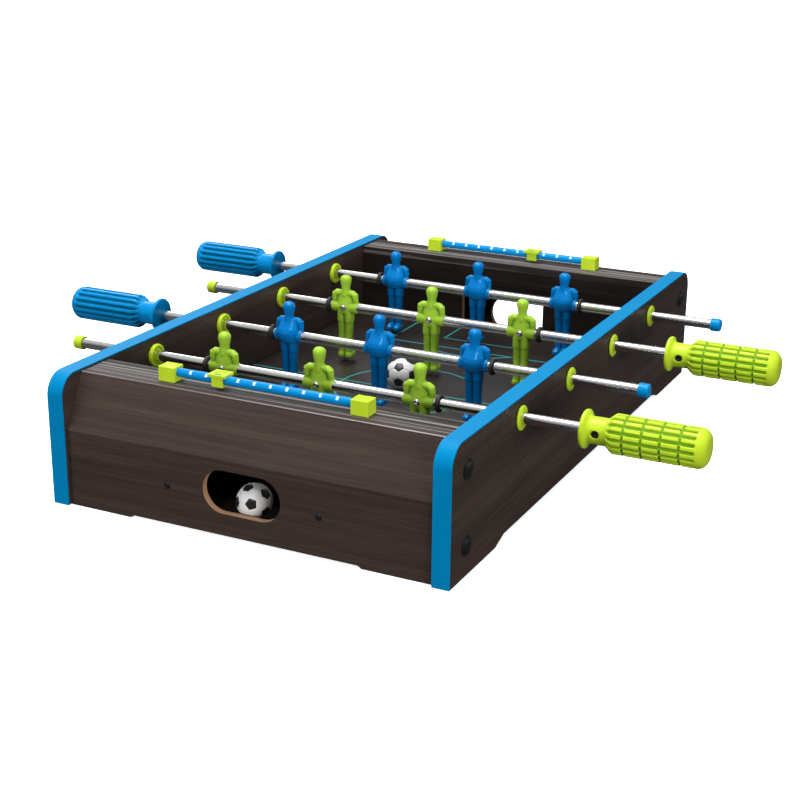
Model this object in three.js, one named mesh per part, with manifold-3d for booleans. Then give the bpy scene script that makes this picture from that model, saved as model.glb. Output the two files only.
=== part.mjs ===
// Tabletop football game: a dark wooden box with blue edge bands, four chromed
// rods with three moulded men on each, push-pull handles, and a ball return in
// each end. Millimetres, +Z up. X runs along the rods, Y along the field, and
// the origin is on the standing surface under the middle of the table.
import * as THREE from 'three';
import { mergeVertices } from 'three/addons/utils/BufferGeometryUtils.js';
import Module from 'manifold-3d';

const wasm = await Module();
wasm.setup();

// ---------------------------------------------------------------- driving dimensions
const tableLength = 500;
const tableWidth = 308;
const panelHeight = 95.3;
const sideBoard = 12.7;
const cornerRadius = 16;
const bandThickness = 1;
const footLength = 73;
const footRise = 4.8;
const footEase = 15;

const endDepth = 54.3;       // from the panel ends to the playing side of the goal wall
const coverRecess = 3.4;     // fascia set back from the panel ends
const coverBoard = 5;
const foldHeight = 55.9;
const lipRecess = 23;        // top edge of the sloping face, from the panel ends
const railDrop = 1.9;        // rail top below the panel tops
const railBoard = 6;
const goalBoard = 5;
const goalWidth = 78;
const coverFoot = 51;
const coverFootEase = 4;
const coverFootRise = 1.8;
const slotWidth = 60;
const slotCentreHeight = 33.3;

const fieldTop = 33.5;
const fieldBoard = 4;
const grooveDepth = 4;
const trayTop = 10.4;
const trayBoard = 3;
const cheekThickness = 12;

const rodDiameter = 8;
const rodWall = 1;
const rodCount = 4;
const rodPitch = 92.9;
const rodDrop = 14.8;        // rod axis below the panel tops
const manPitch = 79;
const menPerRod = 3;
const shoulderWidth = 24.4;
const headTop = 27.2;        // above the rod axis
const footClearance = 3.5;   // under the men's feet
const bumperDiameter = 12.6;
const bumperWidth = 3;
const bumperStandOff = 1.3;  // between a bumper and the outer man's collar

const bushingFlange = 17.4;
const bushingFlangeThickness = 2;
const bushingRimThickness = 3;
const bushingWall = 1.8;

const handleLength = 85;
const handleFlange = 26.5;
const handleFlangeThickness = 2.6;
const neckDiameter = 19;
const neckLength = 17;
const gripDiameter = 27.2;
const capLength = 8;
const capWall = 0.9;
const capStandOff = 7.1;     // a cap stops this much further from its bushing than a handle does

const ballDiameter = 25;
const ballRoom = 5;          // goal and slot are this much taller than the ball

const scorerSpan = 149;      // between the centres of a scorer's end blocks
const scorerBlock = [13, 11.4, 10.5];
const scorerBarDiameter = 6.4;
const scorerBarRaise = 1;    // from the middle of the end blocks up to the bar's axis
const scorerSliderPlate = [13.6, 12, 1.9];
const scorerSliderBody = [8.8, 8.8];

const fit = 0.3;             // gap left between pieces that touch
const running = 0.25;        // radial clearance round a rod

// Where the loose and sliding pieces stand at rest.
const fieldBallAt = [-4, 0];
const returnBallX = -0.6;
const sliderAt = { near: -34.5, far: 20.6 };

// ---------------------------------------------------------------- places worked out from them
const panelInner = tableWidth / 2 - sideBoard;
const panelEnd = tableLength / 2;
const wallInner = panelEnd - endDepth;
const wallOuter = wallInner + goalBoard;
const coverOuter = panelEnd - coverRecess;
const coverInner = coverOuter - coverBoard;
const lipOuter = panelEnd - lipRecess;
const railTop = panelHeight - railDrop;
const railBottom = railTop - railBoard;
const boardHalf = panelInner - fit;

const rodRadius = rodDiameter / 2;
const boreRadius = rodRadius + running;
const rodHeight = panelHeight - rodDrop;
const bushingInnerFace = panelInner - fit - bushingRimThickness;
const bushingOuterFace = tableWidth / 2 + fit + bushingFlangeThickness;
const bumperX = manPitch * (menPerRod - 1) / 2 + shoulderWidth / 2 + bumperStandOff + bumperWidth / 2;
const rodTravel = bushingInnerFace - bumperX - bumperWidth / 2 - fit;
const handleStart = bushingOuterFace + rodTravel + fit;
const capStart = handleStart + capStandOff;
const ballRadius = ballDiameter / 2;
const goalHeight = ballDiameter + ballRoom;
const slotHeight = ballDiameter + ballRoom + 1;

// ---------------------------------------------------------------- shape helpers
// A closed, outward-facing triangle mesh with its shared vertices merged.
function closed(geometry) {
  const bare = geometry.clone();
  bare.deleteAttribute('normal');
  bare.deleteAttribute('uv');
  const merged = mergeVertices(bare, 1e-4);
  const place = merged.getAttribute('position');
  const corner = (i) => new THREE.Vector3().fromBufferAttribute(place, i);
  const kept = [];
  let volume = 0;
  for (let i = 0; i < merged.index.count; i += 3) {
    const [a, b, c] = [0, 1, 2].map((k) => merged.index.getX(i + k));
    if (a === b || b === c || c === a) continue;
    kept.push([a, b, c]);
    volume += corner(a).dot(corner(b).cross(corner(c)));
  }
  const outward = volume > 0 ? kept : kept.map(([a, b, c]) => [a, c, b]);
  const result = new THREE.BufferGeometry();
  result.setAttribute('position', place);
  result.setIndex(outward.flat());
  result.computeVertexNormals();
  return result;
}

function solid(geometry) {
  const mesh = closed(geometry);
  return new wasm.Manifold(new wasm.Mesh({
    numProp: 3,
    vertProperties: new Float32Array(mesh.getAttribute('position').array),
    triVerts: new Uint32Array(mesh.index.array),
  }));
}

function geometryOf(manifold) {
  const mesh = manifold.getMesh();
  const result = new THREE.BufferGeometry();
  result.setAttribute('position', new THREE.BufferAttribute(new Float32Array(mesh.vertProperties), 3));
  result.setIndex(new THREE.BufferAttribute(new Uint32Array(mesh.triVerts), 1));
  return result;
}

// An outline's points in a stated direction, with no two neighbours in one place.
function distinct(path, curveSegments, clockwise) {
  const points = path.getPoints(curveSegments);
  const kept = points.filter((p, i) => p.distanceTo(points[(i + 1) % points.length]) > 1e-3);
  return THREE.ShapeUtils.isClockWise(kept) === clockwise ? kept : kept.reverse();
}

function extruded(shape, depth, curveSegments) {
  const flat = new THREE.Shape(distinct(shape, curveSegments, false));
  flat.holes = shape.holes.map((hole) => new THREE.Path(distinct(hole, curveSegments, true)));
  return new THREE.ExtrudeGeometry(flat, { depth, bevelEnabled: false });
}

// An outline drawn in (y, z), extruded from x0 to x1.
function alongX(shape, x0, x1, curveSegments = 6) {
  const turn = new THREE.Matrix4().makeBasis(
    new THREE.Vector3(0, 1, 0),
    new THREE.Vector3(0, 0, 1),
    new THREE.Vector3(1, 0, 0),
  );
  return extruded(shape, x1 - x0, curveSegments).applyMatrix4(turn).translate(x0, 0, 0);
}

// An outline drawn in (x, z), extruded from y0 to y1.
function alongY(shape, y0, y1, curveSegments = 6) {
  return extruded(shape, y1 - y0, curveSegments).rotateX(Math.PI / 2).translate(0, y1, 0);
}

function outline(points) {
  return new THREE.Shape(points.map(([u, v]) => new THREE.Vector2(u, v)));
}

// Sides of everything round that runs along a rod, so that holes and sleeves line up.
const roundSides = 12;

function roundHole(u, v, radius) {
  const corners = [...Array(roundSides).keys()].map((k) => {
    const angle = (k / roundSides) * Math.PI * 2;
    return new THREE.Vector2(u + radius * Math.cos(angle), v + radius * Math.sin(angle));
  });
  return new THREE.Path(corners);
}

function block([x0, y0, z0], [x1, y1, z1]) {
  const box = new THREE.BoxGeometry(x1 - x0, y1 - y0, z1 - z0);
  return box.translate((x0 + x1) / 2, (y0 + y1) / 2, (z0 + z1) / 2);
}

// A profile of [radius, place along the axis], turned about the X or the Z axis.
function turned(profile, segments, axis = 'x') {
  const lathe = new THREE.LatheGeometry(profile.map(([r, s]) => new THREE.Vector2(r, s)), segments);
  return axis === 'x' ? lathe.rotateZ(-Math.PI / 2) : lathe.rotateX(Math.PI / 2);
}

function ring(profile, segments) {
  return turned([...profile, profile[0]], segments);
}

const finish = (color, roughness, metalness = 0) => () => (
  new THREE.MeshStandardMaterial({ color, roughness, metalness })
);
const woodFoil = finish(0x3a2d29, 0.55);
const blueBand = finish(0x0279c4, 0.4);
const greenPlastic = finish(0xa4c926, 0.35);
const bluePlastic = finish(0x0b7bd0, 0.3);
const chrome = finish(0xd9dadc, 0.12, 1);
const blackRubber = finish(0x1c1a1a, 0.8);
const whiteBall = finish(0xe9e8e6, 0.35);
const fieldPrint = finish(0x2a2626, 0.5);
const trayBoardFinish = finish(0x2a2422, 0.7);

const table = new THREE.Group();

function add(name, geometry, material, at = [0, 0, 0], turn = 0) {
  const mesh = new THREE.Mesh(closed(geometry), material());
  mesh.name = name;
  mesh.position.set(...at);
  mesh.rotation.z = turn;
  table.add(mesh);
}

const ends = [['near', -1], ['far', 1]];
const sides = [['left', -1], ['right', 1]];
const rodAt = (i) => (i - (rodCount - 1) / 2) * rodPitch;
const rodNumbers = [...Array(rodCount).keys()];

// ---------------------------------------------------------------- side panels and their bands
// The arch over the panel, from its near foot to its far foot; inset shrinks it evenly.
function arch(path, inset, reverse = false) {
  const e = panelEnd - inset;
  const top = panelHeight - inset;
  const r = cornerRadius - inset;
  const cy = e - r;
  const cz = top - r;
  if (reverse) {
    path.lineTo(e, 0);
    path.lineTo(e, cz);
    path.absarc(cy, cz, r, 0, Math.PI / 2, false);
    path.lineTo(-cy, top);
    path.absarc(-cy, cz, r, Math.PI / 2, Math.PI, false);
    path.lineTo(-e, 0);
  } else {
    path.moveTo(-e, 0);
    path.lineTo(-e, cz);
    path.absarc(-cy, cz, r, Math.PI, Math.PI / 2, true);
    path.lineTo(cy, top);
    path.absarc(cy, cz, r, Math.PI / 2, 0, true);
    path.lineTo(e, 0);
  }
}

function panelOutline() {
  const shape = new THREE.Shape();
  arch(shape, bandThickness + fit);
  const foot = panelEnd - footLength;
  shape.lineTo(foot, 0);
  shape.quadraticCurveTo(foot - footEase / 3, footRise, foot - footEase, footRise);
  shape.lineTo(-foot + footEase, footRise);
  shape.quadraticCurveTo(-foot + footEase / 3, footRise, -foot, 0);
  rodNumbers.forEach((i) => {
    shape.holes.push(roundHole(rodAt(i), rodHeight, boreRadius + bushingWall + fit));
  });
  return shape;
}

function bandOutline() {
  const shape = new THREE.Shape();
  arch(shape, 0);
  arch(shape, bandThickness, true);
  return shape;
}

sides.forEach(([side, s]) => {
  const x0 = s < 0 ? -tableWidth / 2 : panelInner;
  const grooveX = s * (panelInner + grooveDepth / 2);
  const groove = block(
    [grooveX - grooveDepth / 2 - fit, -wallInner, fieldTop - fieldBoard - fit],
    [grooveX + grooveDepth / 2 + fit, wallInner, fieldTop + fit],
  );
  const board = solid(alongX(panelOutline(), x0, x0 + sideBoard, 5)).subtract(solid(groove));
  add(`side_panel_${side}`, geometryOf(board), woodFoil);
  add(`edge_band_${side}`, alongX(bandOutline(), x0, x0 + sideBoard, 8), blueBand);
});

// ---------------------------------------------------------------- playing field
add('playfield', block(
  [-panelInner - grooveDepth + fit, -wallInner + fit, fieldTop - fieldBoard],
  [panelInner + grooveDepth - fit, wallInner - fit, fieldTop],
), fieldPrint);

// ---------------------------------------------------------------- ends: folded cover, rail, goal wall, tray
// Inside line of the sloping face, where it meets the rail and the tray's cheeks.
const slopeRun = coverOuter - lipOuter;
const slopeRise = railTop - foldHeight;
const slopeAngle = Math.atan2(slopeRun, slopeRise);
const slopeInnerY = (z) => coverOuter - coverBoard / Math.cos(slopeAngle)
  - (z - foldHeight) * Math.tan(slopeAngle);
const foldInner = foldHeight - coverBoard * Math.tan(slopeAngle / 2);

const coverSection = (s) => outline([
  [s * coverOuter, 0],
  [s * coverOuter, foldHeight],
  [s * lipOuter, railTop],
  [s * slopeInnerY(railTop), railTop],
  [s * coverInner, foldInner],
  [s * coverInner, 0],
]);

// The raised stretch between a cover's two feet.
function coverFootCut() {
  const shape = new THREE.Shape();
  const foot = boardHalf - coverFoot;
  shape.moveTo(-foot, -1);
  shape.lineTo(-foot, 0);
  shape.quadraticCurveTo(-foot + coverFootEase / 3, coverFootRise, -foot + coverFootEase, coverFootRise);
  shape.lineTo(foot - coverFootEase, coverFootRise);
  shape.quadraticCurveTo(foot - coverFootEase / 3, coverFootRise, foot, 0);
  shape.lineTo(foot, -1);
  return shape;
}

function slotOutline() {
  const shape = new THREE.Shape();
  const r = slotHeight / 2;
  const cx = slotWidth / 2 - r;
  shape.moveTo(-cx, slotCentreHeight - r);
  shape.lineTo(cx, slotCentreHeight - r);
  shape.absarc(cx, slotCentreHeight, r, -Math.PI / 2, Math.PI / 2, false);
  shape.lineTo(-cx, slotCentreHeight + r);
  shape.absarc(-cx, slotCentreHeight, r, Math.PI / 2, Math.PI * 1.5, false);
  return shape;
}

function goalWallOutline() {
  const shape = outline([
    [-boardHalf, footRise],
    [boardHalf, footRise],
    [boardHalf, railBottom - fit],
    [-boardHalf, railBottom - fit],
  ]);
  shape.holes.push(new THREE.Path([
    [-goalWidth / 2, fieldTop],
    [-goalWidth / 2, fieldTop + goalHeight],
    [goalWidth / 2, fieldTop + goalHeight],
    [goalWidth / 2, fieldTop],
  ].map(([u, v]) => new THREE.Vector2(u, v))));
  return shape;
}

const railSection = (s) => outline([
  [s * wallInner, railBottom],
  [s * wallInner, railTop],
  [s * (slopeInnerY(railTop) - fit), railTop],
  [s * (slopeInnerY(railBottom) - fit), railBottom],
]);

const trayInner = wallOuter + fit;
const cheekTop = railBottom - fit;
const cheekSection = (s) => outline([
  [s * trayInner, trayTop - trayBoard],
  [s * (coverInner - fit), trayTop - trayBoard],
  [s * (coverInner - fit), foldInner - fit],
  [s * (slopeInnerY(cheekTop) - fit), cheekTop],
  [s * trayInner, cheekTop],
]);

// A strip of a section in (y, z) running from y = inner to outer at either end of the table.
const spanY = (s, inner, outer) => [Math.min(s * inner, s * outer), Math.max(s * inner, s * outer)];

ends.forEach(([end, s]) => {
  const through = spanY(s, coverInner - coverBoard, coverOuter + coverBoard);
  const cover = solid(alongX(coverSection(s), -boardHalf, boardHalf))
    .subtract(solid(alongY(slotOutline(), ...through, 6)))
    .subtract(solid(alongY(coverFootCut(), ...through, 3)));
  add(`end_cover_${end}`, geometryOf(cover), woodFoil);
  add(`end_rail_${end}`, alongX(railSection(s), -boardHalf, boardHalf), woodFoil);
  add(`goal_wall_${end}`, alongY(goalWallOutline(), ...spanY(s, wallInner, wallOuter)), woodFoil);

  const [floorY0, floorY1] = spanY(s, trayInner, coverInner - fit);
  const floor = solid(block([-boardHalf, floorY0, trayTop - trayBoard], [boardHalf, floorY1, trayTop]));
  const tray = floor
    .add(solid(alongX(cheekSection(s), -boardHalf, -boardHalf + cheekThickness)))
    .add(solid(alongX(cheekSection(s), boardHalf - cheekThickness, boardHalf)));
  add(`ball_tray_${end}`, geometryOf(tray), trayBoardFinish);
});

// ---------------------------------------------------------------- scorers on the end rails
const scorerY = (wallInner + slopeInnerY(railTop)) / 2 + 6;
const [blockX, blockY, blockZ] = scorerBlock;
const scorerBottom = railTop + fit;
const scorerAxis = scorerBottom + blockZ / 2 + scorerBarRaise;
const barRadius = scorerBarDiameter / 2;

ends.forEach(([end, s]) => {
  const reach = scorerSpan / 2;
  const bar = solid(turned([[0, -reach], [barRadius, -reach], [barRadius, reach], [0, reach]], 10));
  const endBlock = (cx) => solid(block(
    [cx - blockX / 2, -blockY / 2, -scorerBarRaise - blockZ / 2],
    [cx + blockX / 2, blockY / 2, -scorerBarRaise + blockZ / 2],
  ));
  const scorer = bar.add(endBlock(-reach)).add(endBlock(reach));
  add(`scorer_bar_${end}`, geometryOf(scorer), greenPlastic, [0, s * scorerY, scorerAxis]);

  const [plateX, plateY, plateZ] = scorerSliderPlate;
  const [bodyX, bodyY] = scorerSliderBody;
  const plateBottom = barRadius + running - plateZ / 2;
  const plateShift = -s * 0.8; // towards the field
  const slider = solid(block(
    [-bodyX / 2, -bodyY / 2, -barRadius - running - 0.9],
    [bodyX / 2, bodyY / 2, plateBottom + fit],
  )).add(solid(block(
    [-plateX / 2, plateShift - plateY / 2, plateBottom],
    [plateX / 2, plateShift + plateY / 2, plateBottom + plateZ],
  ))).subtract(solid(turned([
    [0, -plateX],
    [barRadius + running, -plateX],
    [barRadius + running, plateX],
    [0, plateX],
  ], 10)));
  add(`scorer_slider_${end}`, geometryOf(slider), greenPlastic, [sliderAt[end], s * scorerY, scorerAxis]);
});

// ---------------------------------------------------------------- bushings: a flanged sleeve in each rod hole
function bushing() {
  const flange = bushingFlange / 2;
  const sleeve = boreRadius + bushingWall;
  const inner = -fit - bushingRimThickness;
  const outer = sideBoard + fit + bushingFlangeThickness;
  return ring([
    [boreRadius, inner],
    [flange, inner],
    [flange, -fit],
    [sleeve, -fit],
    [sleeve, sideBoard + fit],
    [flange, sideBoard + fit],
    [flange, outer],
    [boreRadius, outer],
  ], roundSides);
}

// ---------------------------------------------------------------- men: moulded round the rod, facing +Y
const footRadius = rodHeight - fieldTop - footClearance;
const toeHeight = 4.5;
const toeWidth = 12;
const toeForward = 8;
const toeBack = 4.8;

function man() {
  const shoulder = shoulderWidth / 2;
  const collar = boreRadius + 1.4;
  const headRadius = 4.65;
  const headMiddle = headTop - headRadius * 1.06;
  const head = turned([
    [0, 8],
    [3.6, 13],
    [3.1, headMiddle - headRadius * 0.75],
    [headRadius, headMiddle],
    [headRadius * 0.78, headMiddle + headRadius * 0.72],
    [0, headTop],
  ], 8, 'z');
  const torso = turned([
    [0, -8.6],
    [shoulder * 0.76, -5.5],
    [shoulder * 0.96, 1],
    [shoulder, 8.5],
    [shoulder * 0.84, 12],
    [0, 13.8],
  ], 10, 'z').scale(1, 0.55, 1);
  const hips = turned([[0, -shoulder], [collar, -shoulder], [collar, shoulder], [0, shoulder]], 8);
  const legs = alongY(outline([
    [-6.9, -4],
    [-5.6, -footRadius + toeHeight / 2],
    [5.6, -footRadius + toeHeight / 2],
    [6.9, -4],
  ]), -3.8, 3.8);
  const toes = block(
    [-toeWidth / 2, -toeBack, -footRadius],
    [toeWidth / 2, toeForward, -footRadius + toeHeight],
  );
  const boreReach = shoulder * 2;
  const bore = turned([
    [0, -boreReach],
    [boreRadius, -boreReach],
    [boreRadius, boreReach],
    [0, boreReach],
  ], roundSides);
  return geometryOf(solid(head)
    .add(solid(torso))
    .add(solid(hips))
    .add(solid(legs))
    .add(solid(toes))
    .subtract(solid(bore)));
}

// ---------------------------------------------------------------- what sits on a rod, handle towards +X
const rodInHandle = 64;
const capBore = capLength - 1.5;

function rodTube() {
  const x0 = -(capStart + capBore - fit);
  const x1 = handleStart + rodInHandle;
  return ring([
    [rodRadius - rodWall, x0],
    [rodRadius, x0],
    [rodRadius, x1],
    [rodRadius - rodWall, x1],
  ], roundSides);
}

function handle() {
  const x = handleStart;
  const flange = handleFlange / 2;
  const neck = neckDiameter / 2;
  const grip = gripDiameter / 2;
  const end = x + handleLength;
  const bore = rodRadius + fit;
  return turned([
    [0, x + rodInHandle + fit],
    [bore, x + rodInHandle + fit],
    [bore, x],
    [flange, x],
    [flange, x + handleFlangeThickness],
    [neck, x + handleFlangeThickness + 2],
    [neck, x + neckLength],
    [grip, x + neckLength + 7],
    [grip, end - 10],
    [grip * 0.87, end - 4.5],
    [grip * 0.5, end - 1.2],
    [0, end],
  ], 16);
}

function endCap() {
  const bore = rodRadius + fit;
  const outside = bore + capWall;
  const end = capStart + capLength;
  return turned([
    [0, capStart + capBore],
    [bore, capStart + capBore],
    [bore, capStart],
    [outside, capStart],
    [outside, end - 1.2],
    [outside - 1.2, end],
    [0, end],
  ], roundSides);
}

function bumper() {
  const outside = bumperDiameter / 2;
  const half = bumperWidth / 2;
  return ring([
    [boreRadius, -half],
    [outside, -half],
    [outside, half],
    [boreRadius, half],
  ], roundSides);
}

rodNumbers.forEach((i) => {
  const number = i + 1;
  const handleRight = i % 2 === 0;
  const plastic = handleRight ? greenPlastic : bluePlastic;
  const axis = [0, rodAt(i), rodHeight];
  const turn = handleRight ? 0 : Math.PI;
  add(`rod_${number}`, rodTube(), chrome, axis, turn);
  add(`handle_${number}`, handle(), plastic, axis, turn);
  add(`end_cap_${number}`, endCap(), plastic, axis, turn + Math.PI);
  for (let k = 0; k < menPerRod; k += 1) {
    const x = (k - (menPerRod - 1) / 2) * manPitch;
    add(`man_${number}_${k + 1}`, man(), plastic, [x, rodAt(i), rodHeight], turn);
  }
  sides.forEach(([side, s]) => {
    add(`bumper_${number}_${side}`, bumper(), blackRubber, [s * bumperX, rodAt(i), rodHeight]);
    const sideTurn = s < 0 ? Math.PI : 0;
    add(`bushing_${number}_${side}`, bushing(), greenPlastic, [s * panelInner, rodAt(i), rodHeight], sideTurn);
  });
});

// ---------------------------------------------------------------- balls
const ball = () => new THREE.SphereGeometry(ballRadius, 14, 9);
add('ball_in_play', ball(), whiteBall, [...fieldBallAt, fieldTop + fit + ballRadius]);
add('ball_returned', ball(), whiteBall, [
  returnBallX,
  -(coverInner - fit - ballRadius),
  trayTop + fit + ballRadius,
]);

export default table;
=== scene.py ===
"""A tabletop football table with four rods, men, handles, scorers and two balls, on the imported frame."""
import math

import bmesh
import bpy
import numpy as np
from mathutils import Matrix, Vector


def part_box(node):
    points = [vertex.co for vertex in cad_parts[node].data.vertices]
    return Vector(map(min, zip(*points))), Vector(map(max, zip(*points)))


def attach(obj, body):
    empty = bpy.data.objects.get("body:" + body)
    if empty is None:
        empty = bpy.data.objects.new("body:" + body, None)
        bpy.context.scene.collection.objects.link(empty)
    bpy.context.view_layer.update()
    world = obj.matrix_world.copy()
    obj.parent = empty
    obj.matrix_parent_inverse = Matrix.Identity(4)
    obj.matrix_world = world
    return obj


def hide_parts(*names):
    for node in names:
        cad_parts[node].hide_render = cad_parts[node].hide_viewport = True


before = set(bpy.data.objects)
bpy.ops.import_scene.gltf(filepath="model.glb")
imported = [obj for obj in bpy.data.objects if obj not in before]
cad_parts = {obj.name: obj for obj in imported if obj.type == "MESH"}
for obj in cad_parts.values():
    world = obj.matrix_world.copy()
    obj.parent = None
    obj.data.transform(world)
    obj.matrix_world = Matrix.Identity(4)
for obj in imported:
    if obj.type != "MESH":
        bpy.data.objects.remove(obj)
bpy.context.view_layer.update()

# ------------------------------------------------------------------------------------------------
# The camera stands in front of the table's near end, a little to the right of it and above it, and
# looks along the table. Its level is tilted by about half a degree.
eye = Vector((0.51199, -1.04771, 0.43027))
look = Vector((-0.41797, 0.84706, -0.32831))
tilt = math.radians(-0.56)
level = Vector((0.89677, 0.44250, 0.0))
right = level * math.cos(tilt) + look.cross(level) * math.sin(tilt)
above = right.cross(look)
camera = bpy.data.objects.new("camera", bpy.data.cameras.new("camera"))
camera.data.lens = 69.555
camera.data.sensor_width = 36.0
camera.data.clip_start = 0.05
camera.data.clip_end = 60.0
camera.matrix_world = Matrix.Translation(eye) @ Matrix((right, above, -look)).transposed().to_4x4()
bpy.context.scene.collection.objects.link(camera)
bpy.context.scene.camera = camera


# ------------------------------------------------------------------------------------------------
# The floor and the room are plain and white to the camera, but far darker in the light that they
# give the table. Six soft boxes light it: a wide one overhead, a small one in front, one behind on
# the left, and three low ones all round.
class Shade:
    """One value on its way through a material. A sum or a product with it adds a Math node."""

    def __init__(self, tree, socket=None):
        self.tree, self.socket = tree, socket

    def node(self, kind, settings=None, inputs=None, out=0):
        """The output of a new node, with its settings set first and then its sockets' values or links."""
        made = self.tree.nodes.new(kind)
        for name, value in (settings or {}).items():
            if name == "stops":
                stops = made.color_ramp.elements
                every = [stops[0], stops[1]] + [stops.new(0.5) for _ in value[2:]]
                for stop, (place, colour) in zip(every, value):
                    stop.position, stop.color = place, colour
            else:
                setattr(made, name, value)
        for name, value in (inputs or {}).items():
            if isinstance(value, Shade):
                self.tree.links.new(value.socket, made.inputs[name])
            else:
                made.inputs[name].default_value = value
        return Shade(self.tree, made.outputs[out])

    def maths(self, operation, *values):
        return self.node("ShaderNodeMath", {"operation": operation}, dict(enumerate(values)))

    def __add__(self, other):
        return self.maths("ADD", self, other)

    def __radd__(self, other):
        return self.maths("ADD", other, self)

    def __sub__(self, other):
        return self.maths("SUBTRACT", self, other)

    def __rsub__(self, other):
        return self.maths("SUBTRACT", other, self)

    def __mul__(self, other):
        return self.maths("MULTIPLY", self, other)

    def __rmul__(self, other):
        return self.maths("MULTIPLY", other, self)

    def __truediv__(self, other):
        return self.maths("DIVIDE", self, other)

    def __lt__(self, other):
        return self.maths("LESS_THAN", self, other)

    def __gt__(self, other):
        return self.maths("GREATER_THAN", self, other)

    def __abs__(self):
        return self.maths("ABSOLUTE", self)


def finish(name, colour, roughness, **constants):
    """A new material with one shader, its plain values set, and the start of a chain of nodes for it."""
    made = bpy.data.materials.new(name)
    made.use_nodes = True
    values = made.node_tree.nodes["Principled BSDF"].inputs
    values["Base Color"].default_value = (*colour, 1.0)
    values["Roughness"].default_value = roughness
    for socket, value in constants.items():
        values[socket.replace("_", " ")].default_value = value
    return made, Shade(made.node_tree)


def feed(made, **links):
    """Links values to the sockets of the material's shader."""
    shader = made.node_tree.nodes["Principled BSDF"]
    for socket, value in links.items():
        made.node_tree.links.new(value.socket, shader.inputs[socket.replace("_", " ")])


def blended(start, amount, one, other):
    """A colour between one and other, by amount."""
    return start.node("ShaderNodeMix", {"data_type": "RGBA"}, {0: amount, 6: one, 7: other}, out=2)


def stretched(start, x=1.0, y=1.0, z=1.0):
    """The place on the object, with each direction scaled on its own."""
    place = start.node("ShaderNodeTexCoord", out="Object")
    return start.node("ShaderNodeVectorMath", {"operation": "MULTIPLY"}, {0: place, 1: (x, y, z)})


def specks(start, place, scale, detail=3.0, roughness=0.5):
    return start.node("ShaderNodeTexNoise", None,
                      {"Vector": place, "Scale": scale, "Detail": detail, "Roughness": roughness})


def part_of(start, vector, which):
    """One direction of a vector: 0 for x, 1 for y and 2 for z."""
    return start.node("ShaderNodeSeparateXYZ", None, {0: vector}, out=which)


def spread(start, value, low, high, first=0.0, last=1.0):
    """The value, from low to high, carried over to first to last, and held at the ends."""
    return start.node("ShaderNodeMapRange", None, {0: value, 1: low, 2: high, 3: first, 4: last})


def bumped(start, height, distance, strength=1.0):
    """The surface normal over a height from 0 to 1 that stands for distance metres."""
    return start.node("ShaderNodeBump", None, {"Height": height, "Distance": distance, "Strength": strength})


card, start = finish("floor_card", (0.95, 0.955, 0.96), 0.9, Specular_IOR_Level=0.0, Emission_Strength=0.8)
seen = start.node("ShaderNodeLightPath", out="Is Camera Ray")
feed(card, Roughness=0.86 + 0.08 * specks(start, stretched(start), 12.0),
     Base_Color=blended(start, seen, (0.05, 0.052, 0.055, 1.0), (0.97, 0.975, 0.98, 1.0)),
     Emission_Color=blended(start, seen, (0.0, 0.0, 0.0, 1.0), (0.95, 0.98, 1.0, 1.0)))

floor_mesh = bpy.data.meshes.new("floor")
reach = 12.0
floor_mesh.from_pydata([(-reach, -reach, 0), (reach, -reach, 0), (reach, reach, 0), (-reach, reach, 0)],
                       [], [(0, 1, 2, 3)])
floor_mesh.materials.append(card)
floor = bpy.data.objects.new("floor", floor_mesh)
floor.location.z = -0.0005
bpy.context.scene.collection.objects.link(floor)

room = bpy.data.worlds.new("room")
room.use_nodes = True
start = Shade(room.node_tree)
way_up = part_of(start, start.node("ShaderNodeTexCoord", out="Generated"), 2)
walls = start.node("ShaderNodeValToRGB", {"stops": [
    (0.0, (0.03, 0.03, 0.03, 1)), (0.14, (0.04, 0.04, 0.042, 1)), (0.40, (0.30, 0.305, 0.31, 1)),
    (1.0, (0.72, 0.73, 0.74, 1))]}, {0: way_up})
seen = start.node("ShaderNodeLightPath", out="Is Camera Ray")
background = room.node_tree.nodes["Background"]
room.node_tree.links.new(blended(start, seen, walls, (1.0, 1.0, 1.0, 1.0)).socket, background.inputs["Color"])
bpy.context.scene.world = room
bpy.context.scene.view_settings.view_transform = "Standard"


def softbox(name, place, target, size, watts, mirrored=True):
    """A rectangular lamp that faces target. One that isn't mirrored lights things but not in gloss."""
    lamp = bpy.data.lights.new(name, "AREA")
    lamp.shape, lamp.size, lamp.size_y, lamp.energy = "RECTANGLE", size[0], size[1], watts
    box = bpy.data.objects.new(name, lamp)
    box.location = place
    box.rotation_euler = (Vector(target) - Vector(place)).to_track_quat("-Z", "Y").to_euler()
    box.visible_glossy = mirrored
    bpy.context.scene.collection.objects.link(box)


softbox("overhead_box", (-0.1, -0.1, 1.7), (0.0, 0.0, 0.0), (1.3, 0.9), 29.0)
softbox("back_left_box", (-1.3, 1.2, 1.3), (0.0, 0.0, 0.05), (0.9, 0.7), 7.0)
softbox("key_box", (0.15, -1.3, 1.2), (0.0, 0.0, 0.05), (0.3, 0.3), 3.5)
softbox("low_right_box", (1.9, -1.1, 0.32), (0.0, 0.0, 0.06), (1.3, 0.34), 25.0, False)
softbox("low_left_box", (-1.2, -1.8, 0.34), (0.0, 0.0, 0.06), (1.0, 0.34), 16.0, False)
softbox("low_back_box", (-1.3, 1.7, 0.4), (0.0, 0.0, 0.06), (1.3, 0.34), 12.0, False)


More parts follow.
